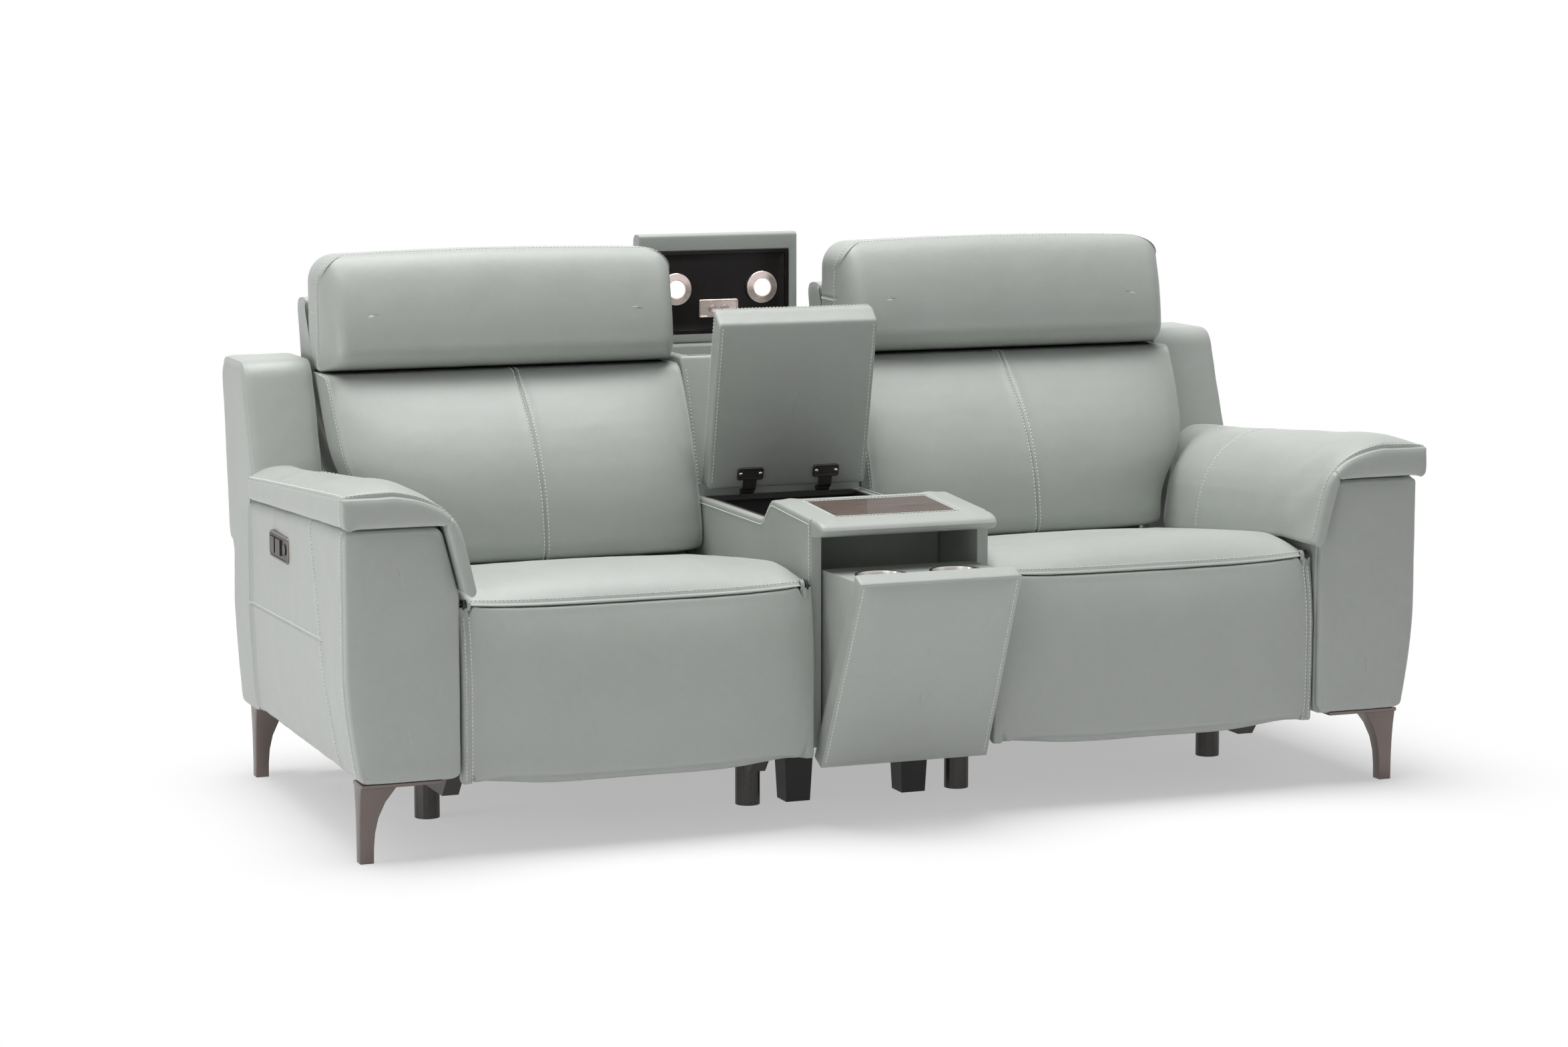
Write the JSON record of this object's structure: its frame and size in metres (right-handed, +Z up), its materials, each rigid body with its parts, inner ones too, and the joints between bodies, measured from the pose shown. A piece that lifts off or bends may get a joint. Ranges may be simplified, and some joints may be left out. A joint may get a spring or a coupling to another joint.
{
  "type": "reclining loveseat with console",
  "caption": "Leather reclining loveseat with a central console: lidded storage tub, tilting cup drawer, reading-light lid, powered backs, headrests and footrests.",
  "frame": {"origin": "on the floor under the middle of the whole piece as it stands with its lids and drawer open", "axes": "+X along the long side, to the right as seen from the front; the front faces -Y; +Z up"},
  "size_m": [2.035, 1.1318, 0.9798],
  "materials": {
    "sage_leather": "satin pebble grain",
    "bronze_metal": "brushed bronze",
    "black_plastic": "matt",
    "gloss_black": "gloss",
    "stainless_steel": "bright",
    "rose_metal": "brushed",
    "dark_wood": "satin lacquer",
    "plywood": "raw",
    "dark_steel": "satin"
  },
  "bodies": {
    "frame": {"console_back_box": "sage_leather", "console_base": "black_plastic", "console_left_side": "sage_leather", "console_right_side": "sage_leather", "console_tray": "sage_leather", "tray_inlay": "dark_wood", "storage_tub": "black_plastic", "front_left_leg": "bronze_metal", "front_right_leg": "bronze_metal", "rear_left_leg": "bronze_metal", "rear_right_leg": "bronze_metal", "left_arm": "sage_leather", "left_arm_pad": "sage_leather", "left_wing": "sage_leather", "left_control_bezel": "gloss_black", "left_base_frame": "dark_steel", "left_actuator_housing": "black_plastic", "right_arm": "sage_leather", "right_arm_pad": "sage_leather", "right_wing": "sage_leather", "right_control_bezel": "gloss_black", "right_base_frame": "dark_steel", "right_actuator_housing": "black_plastic"},
    "storage_lid": {"storage_lid": "sage_leather", "lid_hinge_left": "dark_steel", "lid_hinge_right": "dark_steel"},
    "cup_drawer": {"cup_drawer": "sage_leather", "cup_holder_left": "stainless_steel", "cup_holder_right": "stainless_steel"},
    "light_lid": {"light_lid": "sage_leather", "light_panel": "gloss_black", "lamp_left": "rose_metal", "lamp_right": "rose_metal"},
    "light_left_button": {"light_left_button": "rose_metal"},
    "light_right_button": {"light_right_button": "rose_metal"},
    "left_seat": {"left_seat_frame": "plywood", "left_seat_cushion": "sage_leather"},
    "left_back": {"left_back_shell": "sage_leather", "left_back_cushion": "sage_leather"},
    "left_headrest": {"left_headrest": "sage_leather"},
    "left_footrest": {"left_footrest_pad": "sage_leather", "left_footrest_board": "plywood"},
    "left_crank": {"left_torque_tube": "dark_steel"},
    "left_link": {"left_footrest_link": "dark_steel"},
    "left_home_button": {"left_home_button": "stainless_steel"},
    "left_back_rocker": {"left_back_rocker": "stainless_steel"},
    "left_head_rocker": {"left_head_rocker": "stainless_steel"},
    "right_seat": {"right_seat_frame": "plywood", "right_seat_cushion": "sage_leather"},
    "right_back": {"right_back_shell": "sage_leather", "right_back_cushion": "sage_leather"},
    "right_headrest": {"right_headrest": "sage_leather"},
    "right_footrest": {"right_footrest_pad": "sage_leather", "right_footrest_board": "plywood"},
    "right_crank": {"right_torque_tube": "dark_steel"},
    "right_link": {"right_footrest_link": "dark_steel"},
    "right_home_button": {"right_home_button": "stainless_steel"},
    "right_back_rocker": {"right_back_rocker": "stainless_steel"},
    "right_head_rocker": {"right_head_rocker": "stainless_steel"}
  },
  "joints": [
    {"name": "storage_lid_hinge", "type": "hinge", "parent": "frame", "child": "storage_lid", "pos_m": [0, 0.17543, 0.52], "axis": [1, 0, 0], "range_deg": [0, 78]},
    {"name": "cup_drawer_tilt", "type": "hinge", "parent": "frame", "child": "cup_drawer", "pos_m": [0, -0.36857, 0.152], "axis": [-1, 0, 0], "range_deg": [0, 25]},
    {"name": "light_lid_hinge", "type": "hinge", "parent": "frame", "child": "light_lid", "pos_m": [0, 0.53843, 0.7748], "axis": [1, 0, 0], "range_deg": [0, 90]},
    {"name": "light_left_button_press", "type": "slide", "parent": "light_lid", "child": "light_left_button", "axis": [0, 1, 0], "range_m": [0, 0.002], "stiffness_N_per_m": 600},
    {"name": "light_right_button_press", "type": "slide", "parent": "light_lid", "child": "light_right_button", "axis": [0, 1, 0], "range_m": [0, 0.002], "stiffness_N_per_m": 600},
    {"name": "left_recline", "type": "hinge", "parent": "left_seat", "child": "left_back", "pos_m": [-0.49, 0.18343, 0.365], "axis": [-1, 0, 0], "range_deg": [0, 30]},
    {"name": "left_seat_slide", "type": "slide", "parent": "frame", "child": "left_seat", "axis": [0, -1, 0], "range_m": [0, 0.1]},
    {"name": "left_headrest_tilt", "type": "hinge", "parent": "left_back", "child": "left_headrest", "pos_m": [-0.49, 0.29543, 0.756], "axis": [1, 0, 0], "range_deg": [0, 28]},
    {"name": "left_footrest_lift", "type": "hinge", "parent": "left_seat", "child": "left_footrest", "pos_m": [-0.49, -0.38657, 0.428], "axis": [-1, 0, 0], "range_deg": [0, 85]},
    {"name": "left_crank_turn", "type": "hinge", "parent": "left_seat", "child": "left_crank", "pos_m": [-0.49, -0.19657, 0.3], "axis": [-1, 0, 0], "range_deg": [0, 85]},
    {"name": "left_link_turn", "type": "hinge", "parent": "left_crank", "child": "left_link", "pos_m": [-0.49, -0.13157, 0.187], "axis": [1, 0, 0], "range_deg": [0, 85]},
    {"name": "left_home_press", "type": "slide", "parent": "frame", "child": "left_home_button", "axis": [1, 0, 0], "range_m": [0, 0.002], "stiffness_N_per_m": 600},
    {"name": "left_back_rock", "type": "hinge", "parent": "frame", "child": "left_back_rocker", "pos_m": [-1.00292, 0.05843, 0.478], "axis": [0, 1, 0], "range_deg": [-6, 6], "stiffness_Nm_per_rad": 0.5},
    {"name": "left_head_rock", "type": "hinge", "parent": "frame", "child": "left_head_rocker", "pos_m": [-1.00292, 0.09943, 0.478], "axis": [0, 1, 0], "range_deg": [-6, 6], "stiffness_Nm_per_rad": 0.5},
    {"name": "right_recline", "type": "hinge", "parent": "right_seat", "child": "right_back", "pos_m": [0.49, 0.18343, 0.365], "axis": [-1, 0, 0], "range_deg": [0, 30]},
    {"name": "right_seat_slide", "type": "slide", "parent": "frame", "child": "right_seat", "axis": [0, -1, 0], "range_m": [0, 0.1]},
    {"name": "right_headrest_tilt", "type": "hinge", "parent": "right_back", "child": "right_headrest", "pos_m": [0.49, 0.29543, 0.756], "axis": [1, 0, 0], "range_deg": [0, 28]},
    {"name": "right_footrest_lift", "type": "hinge", "parent": "right_seat", "child": "right_footrest", "pos_m": [0.49, -0.38657, 0.428], "axis": [-1, 0, 0], "range_deg": [0, 85]},
    {"name": "right_crank_turn", "type": "hinge", "parent": "right_seat", "child": "right_crank", "pos_m": [0.49, -0.19657, 0.3], "axis": [-1, 0, 0], "range_deg": [0, 85]},
    {"name": "right_link_turn", "type": "hinge", "parent": "right_crank", "child": "right_link", "pos_m": [0.49, -0.13157, 0.187], "axis": [1, 0, 0], "range_deg": [0, 85]},
    {"name": "right_home_press", "type": "slide", "parent": "frame", "child": "right_home_button", "axis": [-1, 0, 0], "range_m": [0, 0.002], "stiffness_N_per_m": 600},
    {"name": "right_back_rock", "type": "hinge", "parent": "frame", "child": "right_back_rocker", "pos_m": [1.00292, 0.05843, 0.478], "axis": [0, 1, 0], "range_deg": [-6, 6], "stiffness_Nm_per_rad": 0.5},
    {"name": "right_head_rock", "type": "hinge", "parent": "frame", "child": "right_head_rocker", "pos_m": [1.00292, 0.09943, 0.478], "axis": [0, 1, 0], "range_deg": [-6, 6], "stiffness_Nm_per_rad": 0.5}
  ],
  "couplings": [
    {"joint": "left_seat_slide", "follows": "left_recline", "m_per_rad": 0.19098},
    {"joint": "left_footrest_lift", "follows": "left_recline", "ratio": 2.8333},
    {"joint": "left_crank_turn", "follows": "left_recline", "ratio": 2.8333},
    {"joint": "left_link_turn", "follows": "left_recline", "ratio": 2.8333},
    {"joint": "right_seat_slide", "follows": "right_recline", "m_per_rad": 0.19098},
    {"joint": "right_footrest_lift", "follows": "right_recline", "ratio": 2.8333},
    {"joint": "right_crank_turn", "follows": "right_recline", "ratio": 2.8333},
    {"joint": "right_link_turn", "follows": "right_recline", "ratio": 2.8333}
  ]
}
